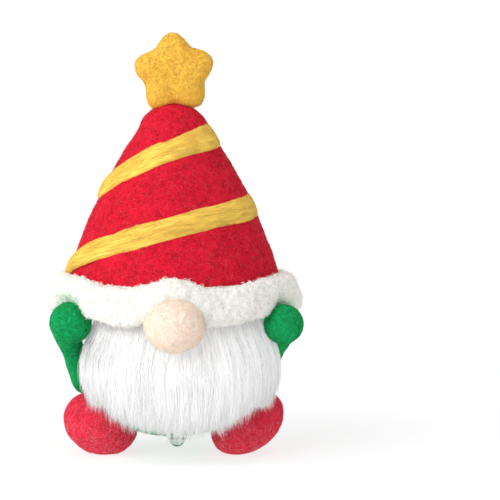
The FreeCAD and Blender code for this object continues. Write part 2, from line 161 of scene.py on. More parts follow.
def felt(name, colour, deep, light=1.3, grain=1.0, dimples=1.0, seed=0.0, along=None, relief=0.75):
    """Needle-felted wool: blotches, matted fibres and the dents of the needle.

    deep is its colour between the fibres, and light how much brighter the raised ones are. grain
    is the size of the texture, and seed moves it. along names a mesh attribute whose first
    coordinate runs with the fibres, and draws them out along it. It takes the place of seed.
    """
    material, tree, surface = new_material(name)
    if along:
        place = node(tree, "ShaderNodeAttribute")
        place.attribute_name = along
        mapped = node(tree, "ShaderNodeMapping", Vector=place.outputs["Vector"], Scale=(0.16, 1.0, 1.0))
    else:
        place = node(tree, "ShaderNodeTexCoord").outputs["Object"]
        mapped = node(tree, "ShaderNodeMapping", Vector=place, Location=(seed, seed, seed))
    spot = mapped.outputs["Vector"]
    pits = node(tree, "ShaderNodeTexVoronoi", Vector=spot, Scale=1050 / grain)
    pit = node(tree, "ShaderNodeMapRange", Value=pits.outputs["Distance"])
    pit.inputs["From Max"].default_value = 0.5
    height = weighed(
        tree,
        (noise(tree, spot, 160 / grain, 2.0), 0.22),
        (noise(tree, spot, 640 / grain, 3.0, 1.2), 0.34),
        (noise(tree, spot, 1500 / grain, 3.0, 2.0), 0.44),
        (pit.outputs["Result"], 0.13 * dimples),
    )
    middle = 0.5 + 0.115 * dimples
    steps = [(middle - 0.15, deep), (middle, colour), (middle + 0.15, tinted(colour, light))]
    tree.links.new(colour_steps(tree, height, steps), surface.inputs["Base Color"])
    bump = node(tree, "ShaderNodeBump", Height=height, Strength=relief, Distance=0.0011 * grain)
    tree.links.new(bump.outputs["Normal"], surface.inputs["Normal"])
    surface.inputs["Roughness"].default_value = 0.92
    surface.inputs["Specular IOR Level"].default_value = 0.08
    surface.inputs["Sheen Weight"].default_value = 0.06
    surface.inputs["Sheen Roughness"].default_value = 0.5
    surface.inputs["Sheen Tint"].default_value = (*tinted(colour, 1.6), 1.0)
    return material


def fibre(name, colour, roughness=0.75, glow=0.0):
    """One shade of single wool fibre. Its variety comes from many shades side by side.

    glow stands for the light that white fibres pass on to each other.
    """
    material, _, surface = new_material(name)
    surface.inputs["Base Color"].default_value = (*colour, 1.0)
    surface.inputs["Roughness"].default_value = roughness
    surface.inputs["Specular IOR Level"].default_value = 0.12
    surface.inputs["Sheen Weight"].default_value = 0.08
    surface.inputs["Sheen Roughness"].default_value = 0.4
    surface.inputs["Emission Color"].default_value = (*colour, 1.0)
    surface.inputs["Emission Strength"].default_value = glow
    return material


def fibre_shades(name, colour, factors, **finish):
    """Several shades of one fibre colour."""
    return [fibre(f"{name}_{i}", tinted(colour, f), **finish) for i, f in enumerate(factors)]


def knit(name, colour):
    """Fine knitted backing cloth: rows of loops."""
    material, tree, surface = new_material(name)
    place = node(tree, "ShaderNodeTexCoord").outputs["Object"]
    rows = node(tree, "ShaderNodeTexWave", Vector=place, Scale=260.0, Distortion=2.0, Detail=1.0)
    rows.bands_direction = "Z"
    shade = colour_steps(tree, rows.outputs["Fac"], [(0.2, tinted(colour, 0.75)), (0.8, colour)])
    tree.links.new(shade, surface.inputs["Base Color"])
    bump = node(tree, "ShaderNodeBump", Height=rows.outputs["Fac"], Strength=0.5, Distance=0.0003)
    tree.links.new(bump.outputs["Normal"], surface.inputs["Normal"])
    surface.inputs["Roughness"].default_value = 0.95
    return material


def clear_glass(name):
    """Slightly green clear glass of a moulded bead."""
    material, tree, surface = new_material(name)
    place = node(tree, "ShaderNodeTexCoord").outputs["Object"]
    swirl = node(tree, "ShaderNodeTexNoise", Vector=place, Scale=900.0, Detail=2.0)
    bump = node(tree, "ShaderNodeBump", Height=swirl.outputs["Fac"], Strength=0.08, Distance=0.0002)
    tree.links.new(bump.outputs["Normal"], surface.inputs["Normal"])
    surface.inputs["Base Color"].default_value = (0.72, 0.80, 0.76, 1.0)
    surface.inputs["Transmission Weight"].default_value = 1.0
    surface.inputs["Roughness"].default_value = 0.06
    surface.inputs["IOR"].default_value = 1.5
    return material


# ---------------------------------------------------------------- noise


def hashed(cells, seed):
    """Repeatable number from 0 to 1 for each whole-numbered cell."""
    cells = cells.astype(np.int64)
    mixed = cells[..., 0] * 73856093 ^ cells[..., 1] * 19349663 ^ cells[..., 2] * 83492791
    mixed = mixed ^ (seed * 7919 + 17)
    mixed = (mixed ^ (mixed >> 13)) * 1274126177 & 0xFFFFFFFF
    mixed = (mixed ^ (mixed >> 15)) * 2246822519 & 0xFFFFFFFF
    return ((mixed ^ (mixed >> 16)) & 0xFFFFFF) / 0xFFFFFF


def smooth_noise(points, grain, seed):
    """Noise from -1 to 1 whose blobs are about grain millimetres across."""
    scaled = points / grain
    base = np.floor(scaled)
    inside = scaled - base
    ease = inside * inside * (3 - 2 * inside)
    total = np.zeros(len(points))
    for corner in np.ndindex(2, 2, 2):
        weight = np.prod([ease[:, i] if corner[i] else 1 - ease[:, i] for i in range(3)], axis=0)
        total += weight * hashed(base + corner, seed)
    return total * 2 - 1


def knobs(points, grain, seed):
    """Round bumps from 0 to 1, about grain millimetres apart, one in each cell."""
    scaled = points / grain
    base = np.floor(scaled)
    nearest = np.full(len(points), 9.0)
    for step in np.ndindex(3, 3, 3):
        cell = base + np.array(step) - 1
        centre = cell + np.stack([hashed(cell, seed + k) for k in range(3)], axis=1)
        nearest = np.minimum(nearest, np.linalg.norm(scaled - centre, axis=1))
    return np.clip(1 - nearest, 0, 1)


# ---------------------------------------------------------------- meshes


def linked(name, mesh):
    """Object of a mesh, in the scene."""
    piece = bpy.data.objects.new(name, mesh)
    bpy.context.scene.collection.objects.link(piece)
    return piece


def coordinates(mesh, attribute="co"):
    """Vertex places in millimetres, or their normals."""
    values = np.empty(len(mesh.vertices) * 3, np.float32)
    if attribute == "co":
        mesh.vertices.foreach_get("co", values)
        return values.reshape(-1, 3).astype(float) / MM
    mesh.vertex_normals.foreach_get("vector", values)
    return values.reshape(-1, 3).astype(float)


def set_coordinates(mesh, points):
    """Move a mesh's vertices to millimetre points."""
    mesh.vertices.foreach_set("co", (points * MM).astype(np.float32).ravel())
    mesh.update()


def triangle_mesh(name, points, triangles, slots=None):
    """Mesh from millimetre points and triangle corner numbers."""
    mesh = bpy.data.meshes.new(name)
    mesh.vertices.add(len(points))
    mesh.vertices.foreach_set("co", (points * MM).astype(np.float32).ravel())
    mesh.loops.add(len(triangles) * 3)
    mesh.loops.foreach_set("vertex_index", triangles.astype(np.int32).ravel())
    mesh.polygons.add(len(triangles))
    mesh.polygons.foreach_set("loop_start", np.arange(0, len(triangles) * 3, 3, dtype=np.int32))
    if slots is not None:
        mesh.polygons.foreach_set("material_index", slots.astype(np.int32))
    mesh.polygons.foreach_set("use_smooth", np.ones(len(triangles), bool))
    mesh.update(calc_edges=True)
    return mesh


def ring_triangles(rows, around, closed=False):
    """Triangles between rows of rings, numbered ring by ring. closed joins the last row to the first."""
    row, spoke = np.meshgrid(np.arange(rows if closed else rows - 1), np.arange(around), indexing="ij")
    next_row, next_spoke = (row + 1) % rows, (spoke + 1) % around
    near = [row * around + spoke, row * around + next_spoke]
    far = [next_row * around + next_spoke, next_row * around + spoke]
    quads = np.stack(near + far, axis=-1).reshape(-1, 4)
    return np.concatenate([quads[:, [0, 1, 2]], quads[:, [0, 2, 3]]])


def store_lie(mesh, points):
    """Store where each vertex lies along, across and above the fibres, for felt's along."""
    layout = mesh.attributes.new("lie", "FLOAT_VECTOR", "POINT")
    layout.data.foreach_set("vector", (points * MM).astype(np.float32).ravel())


def even_copy(name, source, voxel):
    """Copy of a CAD node's surface with even faces and softened edges."""
    draft = linked(name + "_draft", nodes[source].data.copy())
    remesh = draft.modifiers.new("even", "REMESH")
    remesh.mode = "VOXEL"
    remesh.voxel_size = voxel * MM
    soften = draft.modifiers.new("soften", "SMOOTH")
    soften.factor = 0.5
    soften.iterations = 4
    shape = bpy.data.meshes.new_from_object(draft.evaluated_get(bpy.context.evaluated_depsgraph_get()))
    bpy.data.objects.remove(draft)
    shape.materials.clear()
    shape.polygons.foreach_set("use_smooth", np.ones(len(shape.polygons), bool))
    return linked(name, shape)


def finish_piece(piece, material_slot, *replaced):
    """Put a piece on the one body, in place of the CAD nodes it replaces."""
    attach(piece, "root")
    if replaced:
        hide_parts(*replaced)


# ---------------------------------------------------------------- fibres


def unit(vectors):
    """Vectors of length 1."""
    return vectors / np.maximum(np.linalg.norm(vectors, axis=-1, keepdims=True), 1e-9)


def facing_out(places, normals, centre, least, level=True):
    """Whether places face away from a centre, or from the upright line through it if level."""
    outwards = places - centre
    if level:
        outwards[:, 2] = 0
    return np.sum(unit(outwards) * normals, axis=1) > least


def strand_mesh(name, paths, widths, slots):
    """Closed three-sided fibres along paths[fibre, place], tapering to a point at the end.

    widths are half thicknesses for each fibre and place but the last. slots are material numbers.
    """
    count, places, _ = paths.shape
    along = unit(np.gradient(paths, axis=1))
    side = np.array([0.31, 0.17, 0.93])
    across = unit(np.cross(along, np.broadcast_to(side, along.shape)))
    other = np.cross(along, across)
    rings = []
    for turn in (0.0, 2 * math.pi / 3, 4 * math.pi / 3):
        offset = math.cos(turn) * across + math.sin(turn) * other
        rings.append(paths[:, :-1] + offset[:, :-1] * widths[..., None])
    rings = np.stack(rings, axis=2).reshape(count, (places - 1) * 3, 3)
    points = np.concatenate([rings, paths[:, -1:]], axis=1)
    pattern = [(2, 1, 0)]
    for ring in range(places - 2):
        low, high = ring * 3, ring * 3 + 3
        for k in range(3):
            n = (k + 1) % 3
            pattern += [(low + k, low + n, high + n), (low + k, high + n, high + k)]
    last, tip = (places - 2) * 3, (places - 1) * 3
    pattern += [(last + k, last + (k + 1) % 3, tip) for k in range(3)]
    pattern = np.array(pattern)
    offsets = np.arange(count)[:, None, None] * points.shape[1]
    triangles = (pattern[None] + offsets).reshape(-1, 3)
    return triangle_mesh(name, points.reshape(-1, 3), triangles, np.repeat(slots, len(pattern)))


def surface_spots(mesh, count, random, keep=None):
    """Random places on a mesh and their normals, evenly spread by area."""
    mesh.calc_loop_triangles()
    corners = np.empty(len(mesh.loop_triangles) * 3, np.int32)
    mesh.loop_triangles.foreach_get("vertices", corners)
    triangles = coordinates(mesh)[corners.reshape(-1, 3)]
    normals = np.cross(triangles[:, 1] - triangles[:, 0], triangles[:, 2] - triangles[:, 0])
    areas = np.linalg.norm(normals, axis=1)
    if keep is not None:
        areas = areas * keep(triangles.mean(axis=1), unit(normals))
    chosen = random.choice(len(areas), size=count, p=areas / areas.sum())
    first, second = random.random((2, count))
    flip = first + second > 1
    first[flip], second[flip] = 1 - first[flip], 1 - second[flip]
    a, b, c = triangles[chosen, 0], triangles[chosen, 1], triangles[chosen, 2]
    spots = a + (b - a) * first[:, None] + (c - a) * second[:, None]
    return spots, unit(normals[chosen])


def surface_tree(mesh):
    """Search tree of a mesh, in millimetres."""
    corners = [tuple(polygon.vertices) for polygon in mesh.polygons]
    return BVHTree.FromPolygons(coordinates(mesh).tolist(), corners)


FREE_SHARE = 0.3     # of matted fibres, which stand off with their free end
ROOT_DEPTH = 0.04    # of matted fibres in the felt


def matted_paths(mesh, count, length, lift, random, keep=None, places=4):
    """Paths of fibres that lie curled on a surface and lift off it a little."""
    spots, normals = surface_spots(mesh, count, random, keep)
    tree = surface_tree(mesh)
    heading = random.normal(size=(count, 3))
    heading = unit(heading - normals * np.sum(heading * normals, axis=1, keepdims=True))
    bend = random.normal(0, 2.2 / places, count)
    lengths = length * random.uniform(0.6, 1.4, count)
    free = random.random(count) < FREE_SHARE
    rises = lift * random.uniform(0.4, 1.6, count)
    paths = np.empty((count, places, 3))
    for i in range(count):
        at, normal, direction = Vector(spots[i]), Vector(normals[i]), Vector(heading[i])
        stride = lengths[i] / (places - 1)
        for k in range(places):
            share = k / (places - 1)
            rise = rises[i] * (1.6 * share**1.6 if free[i] else math.sin(math.pi * share))
            paths[i, k] = at + normal * (rise - ROOT_DEPTH)
            direction = direction + normal.cross(direction) * bend[i]
            at, normal, _, _ = tree.find_nearest(at + direction.normalized() * stride)
            direction = (direction - normal * direction.dot(normal)).normalized()
    return paths


WIDTH_SPREAD = 0.35  # share by which fibres are thinner or thicker than their mean


def tapered(count, places, width, random):
    """Half widths for fibres that thin towards both ends."""
    share = np.linspace(0, 1, places)[: places - 1]
    profile = 0.55 + 0.45 * np.sin(math.pi * np.clip(share + 0.12, 0, 1))
    return width / 2 * profile[None, :] * random.uniform(1 - WIDTH_SPREAD, 1 + WIDTH_SPREAD, (count, 1))


MOST_FACES = 190_000     # of one piece


def coat(name, paths, widths, shades, random, material_slot, darker=0.0):
    """Fibres with a random shade each, in as few pieces as their faces allow.

    darker is the chance, one value or one for each fibre, of getting the next darker shade: painted shade,
    where less light falls on the fibres.
    """
    count, places, _ = paths.shape
    pieces = math.ceil(count * (6 * places - 8) / MOST_FACES)
    chosen = random.integers(0, len(shades), count)
    # Painted shade: by the chance darker, a fibre takes the next darker shade.
    chosen = np.maximum(chosen - (random.random(count) < darker), 0)
    for number, share in enumerate(np.array_split(np.arange(count), pieces)):
        label = f"{name}_{number}" if pieces > 1 else name
        mesh = strand_mesh(label, paths[share], widths[share], chosen[share])
        for shade in shades:
            mesh.materials.append(shade)
        finish_piece(linked(label, mesh), material_slot)


def fuzz(name, base, count, length, lift, width, shades, seed, material_slot, keep=None, places=4):
    """A coat of single fibres on a felted piece."""
    random = np.random.default_rng(seed)
    paths = matted_paths(base.data, count, length, lift, random, keep, places)
    coat(name, paths, tapered(count, places, width, random), shades, random, material_slot)


def felted(name, source, material, material_slot, voxel, lumps, seed, swell=None):
    """Felted piece grown from a CAD node, uneven in three sizes of lump.

    voxel is the size of its faces, lumps the height of the largest lumps, and swell an extra
    height by place.
    """
    piece = even_copy(name, source, voxel)
    mesh = piece.data
    points, normals = coordinates(mesh), coordinates(mesh, "normal")
    height = lumps * smooth_noise(points, 11.0, seed)
    height += lumps * 0.45 * smooth_noise(points, 4.0, seed + 1)
    height += lumps * 0.30 * smooth_noise(points, 1.7, seed + 2)
    if swell is not None:
        height += swell(points)
    set_coordinates(mesh, points + normals * height[:, None])
    mesh.materials.append(material)
    finish_piece(piece, material_slot, source)
    return piece


# ---------------------------------------------------------------- hat


FLEECE_COVERS = 9    # height of the hat's skin that the fleece hides


def outside_of_hat(places, normals):
    """Where a place faces outwards and stands clear of the fleece."""
    return facing_out(places, normals, AXIS, 0.1) & (places[:, 2] > HAT_LOW[2] + FLEECE_COVERS)


def make_hat():
    """Red felt skin of the hat, with its fibres."""
    material = felt("red_hat_felt", RED, RED_DEEP, seed=1.0)
    hat = felted("hat_felt", "hat_cover", material, "red_felt", 0.8, 0.38, 11)
    shades = fibre_shades("red_fibre", RED, (0.6, 0.85, 1.1, 1.45, 2.1))
    shades.append(fibre("red_fibre_pale", RED_PALE))
    fuzz("hat_fuzz", hat, 18000, 2.6, 0.28, 0.075, shades, 21, "red_felt", outside_of_hat)
    stray = fibre_shades("stray_fibre", RED_STRAY, (0.8, 1.0))
    fuzz("hat_stray_fibres", hat, 22, 12.0, 0.45, 0.045, stray, 27, "red_felt", outside_of_hat, 10)
    return hat


# The band's middle line, as degrees round the hat from the front towards +X, and height.
BAND_ROUTE = (
    (-125, 66.0), (-95, 71.5), (-60, 80.3), (-25, 87.4), (10, 92.8), (45, 95.9),
    (85, 97.4), (140, 98.6), (200, 100.2), (250, 102.8), (285, 106.4), (310, 112.2),
    (340, 118.0), (370, 121.6), (405, 124.0), (440, 124.9), (480, 125.6), (520, 126.6),
)
BAND_HALF_WIDTH = 4.5
BAND_RISE = 1.75     # above the hat
BAND_AROUND = 40     # points round its section


def smooth_route(route, step):
    """Points every step degrees on a smooth curve through the route."""
    known = np.array(route, float)
    slopes = np.gradient(known[:, 1], known[:, 0])
    at = np.arange(known[0, 0], known[-1, 0] + step / 2, step)
    i = np.clip(np.searchsorted(known[:, 0], at, "right") - 1, 0, len(known) - 2)
    gap = known[i + 1, 0] - known[i, 0]
    u = (at - known[i, 0]) / gap
    curve = (2 * u**3 - 3 * u**2 + 1) * known[i, 1] + (3 * u**2 - 2 * u**3) * known[i + 1, 1]
    curve += gap * ((u**3 - 2 * u**2 + u) * slopes[i] + (u**3 - u**2) * slopes[i + 1])
    return at, curve


def hat_profile(hat):
    """Radius of the felt hat by height."""
    points = coordinates(hat.data) - AXIS
    radius = np.hypot(points[:, 0], points[:, 1])
    levels = np.arange(60.0, 134.0, 1.0)
    outer = [np.median(radius[(abs(points[:, 2] - z) < 0.8) & (radius > 9)]) for z in levels]
    line = np.polynomial.Polynomial.fit(levels, outer, 5)
    return lambda height: line(np.clip(height, levels[0], levels[-1]))


def make_band(hat):
    """Band of combed yellow wool wound round the hat, rounded across, with fibres along it."""
    angle, height = smooth_route(BAND_ROUTE, 1.0)
    radius_at = hat_profile(hat)
    radians = np.radians(angle)
    radius = radius_at(height)
    step = np.hypot(np.gradient(height), radius * np.gradient(radians))
    length = np.cumsum(step)
    ends = np.clip(np.minimum(length + 1.5, length[-1] - length + 1.5) / 9.0, 0.2, 1) ** 0.5
    flank = np.cos(np.arctan2(np.gradient(height), radius * np.gradient(radians)))
    half_width = BAND_HALF_WIDTH * ends / flank
    half_width = half_width * (1 + 0.05 * np.sin(length / 9.0) + 0.03 * np.sin(length / 3.7 + 1))

    def place(line, across, rise):
        """Point at a share of the band's half width, raised above the hat."""
        z = height[line] + across * half_width[line]
        r = radius_at(z) + rise
        return np.stack([r * np.sin(radians[line]), AXIS_Y - r * np.cos(radians[line]), z], axis=-1)

    def crown(across):
        """Height of the band's top above the hat at a share of its half width."""
        return BAND_RISE * np.maximum(1 - np.abs(across) ** 2.6, 0) ** 0.55

    turn = np.linspace(0, 2 * math.pi, BAND_AROUND, endpoint=False)
    line = np.repeat(np.arange(len(angle)), BAND_AROUND)
    side = np.tile(np.cos(turn), len(angle))
    above = np.tile(np.sin(turn) > 0, len(angle))
    rise = np.where(above, crown(side) * ends[line], -0.7 * (1 - side**2))
    lie = np.stack([length[line], side * half_width[line], rise], axis=1)
    combed = 0.05 * smooth_noise(lie * (0.12, 1, 0), 0.9, 31) + 0.12 * smooth_noise(lie, 5.0, 32)
    rise += np.where(above, combed, 0)
    points = place(line, side, rise)
    triangles = ring_triangles(len(angle), BAND_AROUND)
    for start, flip in ((0, False), ((len(angle) - 1) * BAND_AROUND, True)):
        fan = np.array([(start, start + k + 1, start + k) for k in range(1, BAND_AROUND - 1)])
        triangles = np.concatenate([triangles, fan[:, ::-1] if flip else fan])
    mesh = triangle_mesh("band_felt", points, triangles[:, ::-1])
    store_lie(mesh, lie)
    material = felt("yellow_band_felt", BAND_GOLD, BAND_DEEP, 1.12, 1.0, 0.2, along="lie", relief=0.2)
    mesh.materials.append(material)
    finish_piece(linked("band_felt", mesh), "yellow_felt", "hat_band")

    random = np.random.default_rng(33)
    count, places = 6500, 6
    begin = random.uniform(0, len(angle) - 18, count)
    span = random.uniform(6, 17, count)
    track = begin[:, None] + span[:, None] * np.linspace(0, 1, places)
    shift = random.uniform(-1.0, 1.0, count)[:, None]
    shift = shift + random.normal(0, 0.06, (count, 1)) * np.linspace(-1, 1, places)
    shift = np.clip(shift, -1.04, 1.04)
    lift = random.uniform(-0.05, 0.22, (count, 1)) * np.sin(np.linspace(0.3, math.pi, places)) + 0.03
    whole = np.clip(track.round().astype(int), 0, len(angle) - 1)
    paths = place(whole, shift, crown(np.clip(shift, -0.985, 0.985)) * ends[whole] + lift)
    shades = fibre_shades("band_fibre", BAND_GOLD, (0.84, 0.96, 1.05, 1.15))
    coat("band_fuzz", paths, tapered(count, places, 0.085, random), shades, random, "yellow_felt")


def make_star():
    """Yellow felt star on the hat's tip."""
    material = felt("yellow_star_felt", GOLD, GOLD_DEEP, 1.12, 0.85, 1.2, 5.0)
    star = felted("star_felt", "star", material, "yellow_felt", 0.55, 0.32, 41)
    shades = fibre_shades("star_fibre", GOLD, (0.8, 0.92, 1.05, 1.2))
    fuzz("star_fuzz", star, 6500, 2.2, 0.26, 0.075, shades, 43, "yellow_felt")


# ---------------------------------------------------------------- fleece trim


FLEECE_ROWS = 480    # sections round the brim
FLEECE_AROUND = 44   # points round a section
HAND_DENT = 5.0      # depth to which a hand presses the fleece in
CURLS = 11000
CURL_PLACES = 7


def bell(angle, centre, width):
    """Smooth bump of height 1."""
    return np.exp(-(((angle - centre) / width) ** 2))


def trim_edges(angle):
    """Heights of the fleece's lower and upper edge round the brim, in degrees from the front.

    The strip climbs over the nose, dips beside it and lifts again above the hands.
    """
    low, high = node_box("trim_backing")
    middle = -1.2 * bell(angle, -23, 13) - 1.2 * bell(angle, 24, 13)
    middle += 1.9 * bell(angle, -62, 20) + 1.2 * bell(angle, 62, 20)
    back = bell(angle, 180, 60) + bell(angle, -180, 60)
    middle += 0.9 * back * np.sin(np.radians(angle * 5))
    base = low[2] - 0.7 + middle + 0.8 * bell(angle, 0, 9)
    top = high[2] + 0.5 + middle + 3.2 * bell(angle, 1, 12)
    return base, top


def hand_dent(name, angle, height):
    """How far a hand presses the fleece inwards, by place on the fleece."""
    low, high = node_box(name)
    middle = (low + high) / 2
    across = math.degrees(math.atan2(middle[0], AXIS_Y - middle[1]))
    reach = math.hypot(middle[0], middle[1] - AXIS_Y)
    off_side = (angle - across) / math.degrees(0.5 * (high[0] - low[0]) / reach)
    off_height = (height - middle[2]) / (0.5 * (high[2] - low[2]))
    return HAND_DENT * np.exp(-((np.hypot(off_side, off_height) / 1.1) ** 4))


def make_trim():
    """Curly fleece: a knobbly ring under a coat of small curls."""
    outer = node_box("trim_pile")[1][0] - 0.4
    inner = node_box("trim_backing")[1][0] - 4.6
    angle = np.linspace(-180, 180, FLEECE_ROWS, endpoint=False)
    base, top = trim_edges(angle)
    turn = np.linspace(0, 2 * math.pi, FLEECE_AROUND, endpoint=False)
    upright = np.sign(np.sin(turn)) * np.abs(np.sin(turn)) ** 0.8
    sideways = np.sign(np.cos(turn)) * np.abs(np.cos(turn)) ** 0.8
    height = (base + top)[:, None] / 2 + (top - base)[:, None] / 2 * upright
    lean = -1.6 * upright
    radius = (inner + outer) / 2 + (outer - inner) / 2 * sideways + lean
    for side in ("left", "right"):
        radius = radius - hand_dent(f"hand_{side}", angle[:, None], height)
    radians = np.radians(angle)[:, None]
    grid = [radius * np.sin(radians), AXIS_Y - radius * np.cos(radians), height]
    points = np.stack(grid, axis=2).reshape(-1, 3)
    triangles = ring_triangles(FLEECE_ROWS, FLEECE_AROUND, closed=True)
    mesh = triangle_mesh("fleece_base", points, triangles[:, ::-1])
    normals = coordinates(mesh, "normal")
    lumps = 1.2 * knobs(points, 2.6, 51) + 0.6 * smooth_noise(points, 5.0, 52) - 0.6
    set_coordinates(mesh, points + normals * lumps[:, None])
    mesh.materials.append(felt("fleece_felt", FLEECE, FLEECE_DEEP, 1.05, 1.2, 0.6, 7.0))
    trim = linked("fleece_base", mesh)
    finish_piece(trim, "fleece_pile", "trim_pile")

    random = np.random.default_rng(53)

    def outside(places, normals):
        return facing_out(places, normals, AXIS, -0.35)

    spots, facing = surface_spots(mesh, CURLS, random, outside)
    heading = unit(facing + random.normal(size=(CURLS, 3)) * 0.7)
    axis = unit(np.cross(heading, random.normal(size=(CURLS, 3))))
    stride = (random.uniform(1.3, 2.8, CURLS) / (CURL_PLACES - 1))[:, None]
    bend = (random.uniform(3.0, 6.0, CURLS) / (CURL_PLACES - 1))[:, None]
    paths = np.empty((CURLS, CURL_PLACES, 3))
    paths[:, 0] = spots - facing * 0.2
    for k in range(1, CURL_PLACES):
        paths[:, k] = paths[:, k - 1] + heading * stride
        turned = heading * np.cos(bend) + np.cross(axis, heading) * np.sin(bend)
        heading = unit(turned + facing * 0.02)
    # The fibres' glow is painted light: emission standing in for the light the white fibres pass on to
    # each other.
    shades = fibre_shades("fleece_fibre", FLEECE, (0.93, 0.98, 1.0, 1.02), glow=0.12)
    widths = tapered(CURLS, CURL_PLACES, 0.15, random)
    coat("fleece_curls", paths, widths, shades, random, "fleece_pile")
    return trim


def make_felted_joins(trim):
    """Green fibres that hold each hand in the fleece."""
    shades = fibre_shades("join_fibre", GREEN, (0.8, 1.1, 1.5, 2.2))
    for number, side in enumerate(("left", "right")):
        low, high = node_box(f"hand_{side}")
        centre, radius = (low + high) / 2, (high[0] - low[0]) / 2

        def near_hand(places, _):
            apart = np.linalg.norm(places - centre, axis=1)
            return (apart < radius + 3.0) & (apart > radius - 1.5) & (places[:, 2] > centre[2])

        label = f"hand_join_fibres_{side}"
        fuzz(label, trim, 160, 4.5, 0.9, 0.06, shades, 55 + number, "green_felt", near_hand, 6)


# ---------------------------------------------------------------- beard


STRANDS = 33000
STRAND_PLACES = 6
LOCKS = 300
BEARD_SIDE = 108     # degrees from the front to the beard's two sides
BEARD_HALF = 38      # about half its width
BEARD_CENTRE = 20.0  # its upright middle line, in front of the hat's axis
BEARD_TOP = 56.5     # of the inner mass
MASS_LEVELS = 64     # points from its top to its tips
TIP_LOW = 10.9       # height of the beard's tips in the middle
TIP_HIGH = 22.0      # and at its sides


def neighbours(table, span):
    """Copies of a table, shifted each way by up to span places, with its edges repeated."""
    rows, columns = table.shape
    padded = np.pad(table, span, mode="edge")
    steps = range(2 * span + 1)
    return np.array([padded[i : i + rows, j : j + columns] for i in steps for j in steps])


def beard_reach():
    """The beard's upright middle line, and the CAD solid's reach from it by angle and height."""
    low, high = node_box("beard_pile")
    middle = np.array([(low[0] + high[0]) / 2, AXIS_Y - BEARD_CENTRE])
    tree = surface_tree(nodes["beard_pile"].data)
    angles = np.linspace(-110, 110, 89)
    heights = np.linspace(low[2] + 0.6, high[2] - 0.6, 60)
    table = np.zeros((len(angles), len(heights)))
    far = 90.0
    for i, angle in enumerate(np.radians(angles)):
        out = Vector((math.sin(angle), -math.cos(angle), 0))
        for j, height in enumerate(heights):
            start = Vector((middle[0], middle[1], height)) + out * far
            hit = tree.ray_cast(start, -out)
            table[i, j] = far - hit[3] if hit[0] is not None else np.nan
    for row in table:
        gaps = np.isnan(row)
        if gaps.all():
            row[:] = 30.0
        elif gaps.any():
            row[gaps] = np.interp(np.flatnonzero(gaps), np.flatnonzero(~gaps), row[~gaps])
    # The nose and the right hand leave hollows in the solid. The fibres pass over them.
    table = np.sort(neighbours(table, 3), axis=0)[-12:].mean(axis=0)
    for _ in range(2):
        table = np.mean(neighbours(table, 2), axis=0)

    def reach(angle, height):
        at = np.clip((angle - angles[0]) / (angles[1] - angles[0]), 0, len(angles) - 1.001)
        up = np.clip((height - heights[0]) / (heights[1] - heights[0]), 0, len(heights) - 1.001)
        i, j = at.astype(int), up.astype(int)
        a, b = at - i, up - j
        low_side = table[i, j] * (1 - b) + table[i, j + 1] * b
        high_side = table[i + 1, j] * (1 - b) + table[i + 1, j + 1] * b
        return low_side * (1 - a) + high_side * a

    return middle, reach


def tip_height(angle):
    """Height where the beard's tips end, by angle from the front: lowest in the middle."""
    return np.minimum(TIP_LOW + 24 * (np.abs(angle) / 85) ** 2.6, TIP_HIGH)


def beard_paths(count, random, middle, reach):
    """Paths of long fibres that fall from under the fleece and fan out over the feet.

    Towards their tips they draw together in locks, each with a length and a sway of its own.
    """
    lock_angle = random.uniform(-BEARD_SIDE, BEARD_SIDE, LOCKS)
    lock_sway = random.normal(0, 4.0, LOCKS)
    lock_end = random.normal(0, 1.5, LOCKS)
    lock_puff = random.normal(0, 0.8, LOCKS)
    angle = random.uniform(-BEARD_SIDE, BEARD_SIDE, count)
    at_top = random.random(count) < 0.5
    top = np.where(at_top, random.uniform(53.5, 58, count), random.uniform(22, 55, count))
    layer = 1 - 0.14 * random.random(count) ** 1.5
    near = angle + random.normal(0, 1.6, count)
    lock = np.abs(lock_angle[None, :] - near[:, None]).argmin(axis=1)
    bottom = tip_height(angle) + lock_end[lock] + np.abs(random.normal(0, 2.8, count)) - 0.3
    top = np.maximum(top, bottom + random.uniform(9, 18, count))
    fall = np.minimum(random.uniform(24, 50, count), top - bottom)
    share = np.linspace(0, 1, STRAND_PLACES)[None, :]
    height = top[:, None] - fall[:, None] * share
    near_tips = np.clip((34 - height) / 26, 0, 1)
    pull = 0.85 * near_tips * share**0.7
    wave = 1.6 * np.sin(height / 5.5 + lock[:, None] * 1.7)
    wave = wave + 1.0 * np.sin(height / 2.9 + angle[:, None] * 3)
    own = angle[:, None] + random.normal(0, 3.2, count)[:, None] * share + 0.55 * wave
    locked = lock_angle[lock][:, None] + lock_sway[lock][:, None] * near_tips + 0.8 * wave
    turned = own * (1 - pull) + locked * pull
    out = reach(turned, np.maximum(height, tip_height(turned) + 2)) * layer[:, None]
    out -= np.where(top > 53, 1.5, 4.0)[:, None] * (1 - share) ** 3
    out += lock_puff[lock][:, None] * near_tips + random.normal(0.2, 1.1, count)[:, None] * share**2
    radians = np.radians(turned)
    x = middle[0] + out * np.sin(radians)
    y = middle[1] - out * np.cos(radians)
    return np.stack([x, y, height], axis=2)


